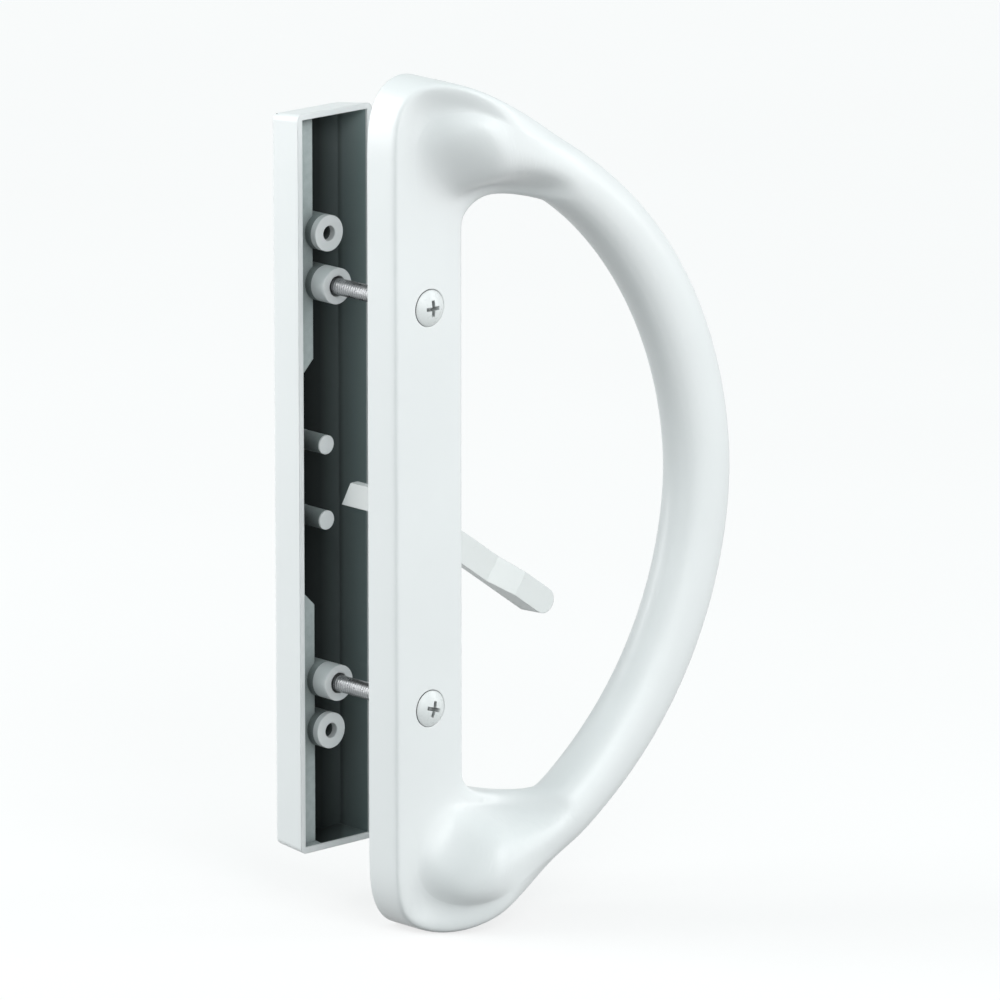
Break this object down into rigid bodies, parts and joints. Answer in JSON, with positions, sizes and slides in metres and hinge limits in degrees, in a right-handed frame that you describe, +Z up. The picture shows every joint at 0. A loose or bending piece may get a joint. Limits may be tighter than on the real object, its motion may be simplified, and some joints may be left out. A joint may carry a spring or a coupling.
{
  "type": "sliding patio door handle",
  "caption": "White die-cast sliding patio door handle set: inside face plate with a D-shaped bow and thumb latch lever, screwed through the door to a shallow outside pull.",
  "frame": {"origin": "on the inside face plate's back plane, which seats on the door, midway between the two mounting screws", "axes": "+X across the door from the plate towards the bow, +Y from the room through the door to the outside, +Z up"},
  "size_m": [0.0975, 0.0668, 0.2122],
  "materials": {
    "white_casting": "glossy white powder coat on a zinc die casting",
    "white_lever": "satin white powder coat on a zinc die casting",
    "screw_steel": "zinc plated steel, head painted white",
    "zinc_plated_steel": "zinc plated sheet and screws",
    "spring_steel": "bare spring steel"
  },
  "bodies": {
    "handle_set": {"inside_handle": "white_casting", "outside_pull": "white_casting", "upper_mounting_screw": "screw_steel", "lower_mounting_screw": "screw_steel", "lever_strap": "zinc_plated_steel", "upper_strap_screw": "zinc_plated_steel", "lower_strap_screw": "zinc_plated_steel", "lever_spring_washer": "spring_steel"},
    "latch_lever": {"thumb_lever": "white_lever"}
  },
  "joints": [
    {"name": "lever_turn", "type": "hinge", "parent": "handle_set", "child": "latch_lever", "pos_m": [0, -0.004, -0.0024], "axis": [0, -1, 0], "range_deg": [0, 70]}
  ]
}
